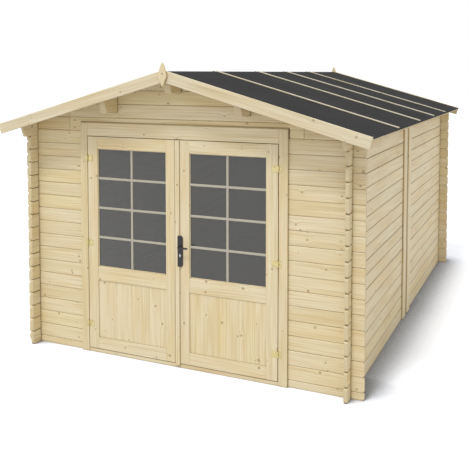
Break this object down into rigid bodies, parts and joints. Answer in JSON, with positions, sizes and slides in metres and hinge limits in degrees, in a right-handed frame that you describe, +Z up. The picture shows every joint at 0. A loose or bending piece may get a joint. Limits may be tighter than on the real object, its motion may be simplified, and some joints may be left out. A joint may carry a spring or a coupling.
{
  "type": "wooden garden shed",
  "caption": "Log-built garden shed with corner-crossing wall logs, shallow felted gable roof, purlins and a glazed double door that opens outward.",
  "frame": {"origin": "on the ground under the middle of the bounding box", "axes": "+Z up, the door faces -Y, +X to the right of a person who looks at the door"},
  "size_m": [3.431, 4.881, 2.5958],
  "materials": {
    "log_wood": "planed pale spruce, unpainted, fine grain and small knots",
    "roof_wood": "planed pale spruce boards and beams",
    "floor_wood": "planed pale spruce boards",
    "roof_felt": "matt mineral-coated bitumen felt",
    "door_glass": "clear flat glass",
    "hinge_metal": "yellow-passivated steel, satin",
    "handle_metal": "black coated metal, satin"
  },
  "bodies": {
    "shed": {"floor_bearers": "floor_wood", "floor_boards": "floor_wood", "front_wall_left": "log_wood", "front_wall_right": "log_wood", "front_gable": "log_wood", "rear_wall": "log_wood", "rear_gable": "log_wood", "left_wall": "log_wood", "right_wall": "log_wood", "left_eaves_log": "log_wood", "right_eaves_log": "log_wood", "left_wall_joint_boards": "log_wood", "right_wall_joint_boards": "log_wood", "ridge_purlin": "roof_wood", "left_purlin": "roof_wood", "right_purlin": "roof_wood", "roof_boards_left": "roof_wood", "roof_boards_right": "roof_wood", "roof_felt_left": "roof_felt", "roof_felt_right": "roof_felt", "felt_battens_left": "log_wood", "felt_battens_right": "log_wood", "front_bargeboard_left": "log_wood", "front_bargeboard_right": "log_wood", "rear_bargeboard_left": "log_wood", "rear_bargeboard_right": "log_wood", "front_finial": "log_wood", "rear_finial": "log_wood", "door_jamb_left": "log_wood", "door_jamb_right": "log_wood", "door_head": "log_wood", "door_threshold": "floor_wood", "left_frame_hinges": "hinge_metal", "right_frame_hinges": "hinge_metal"},
    "left_door": {"left_leaf_frame": "log_wood", "left_leaf_glass": "door_glass", "left_leaf_panel": "log_wood", "left_leaf_hinges": "hinge_metal"},
    "right_door": {"right_leaf_frame": "log_wood", "right_leaf_glass": "door_glass", "right_leaf_panel": "log_wood", "right_leaf_hinges": "hinge_metal", "meeting_strip": "log_wood", "handle_plates": "handle_metal"},
    "lever": {"door_lever": "handle_metal"}
  },
  "joints": [
    {"name": "left_door_hinge", "type": "hinge", "parent": "shed", "child": "left_door", "pos_m": [-0.9075, -2.1995, 0.995], "axis": [0, 0, -1], "range_deg": [0, 135]},
    {"name": "right_door_hinge", "type": "hinge", "parent": "shed", "child": "right_door", "pos_m": [0.9075, -2.1995, 0.995], "axis": [0, 0, 1], "range_deg": [0, 135]},
    {"name": "lever_turn", "type": "hinge", "parent": "right_door", "child": "lever", "pos_m": [0.028, -2.1725, 1.048], "axis": [0, 1, 0], "range_deg": [0, 40], "stiffness_Nm_per_rad": 1.2, "springref_deg": -28.65}
  ]
}
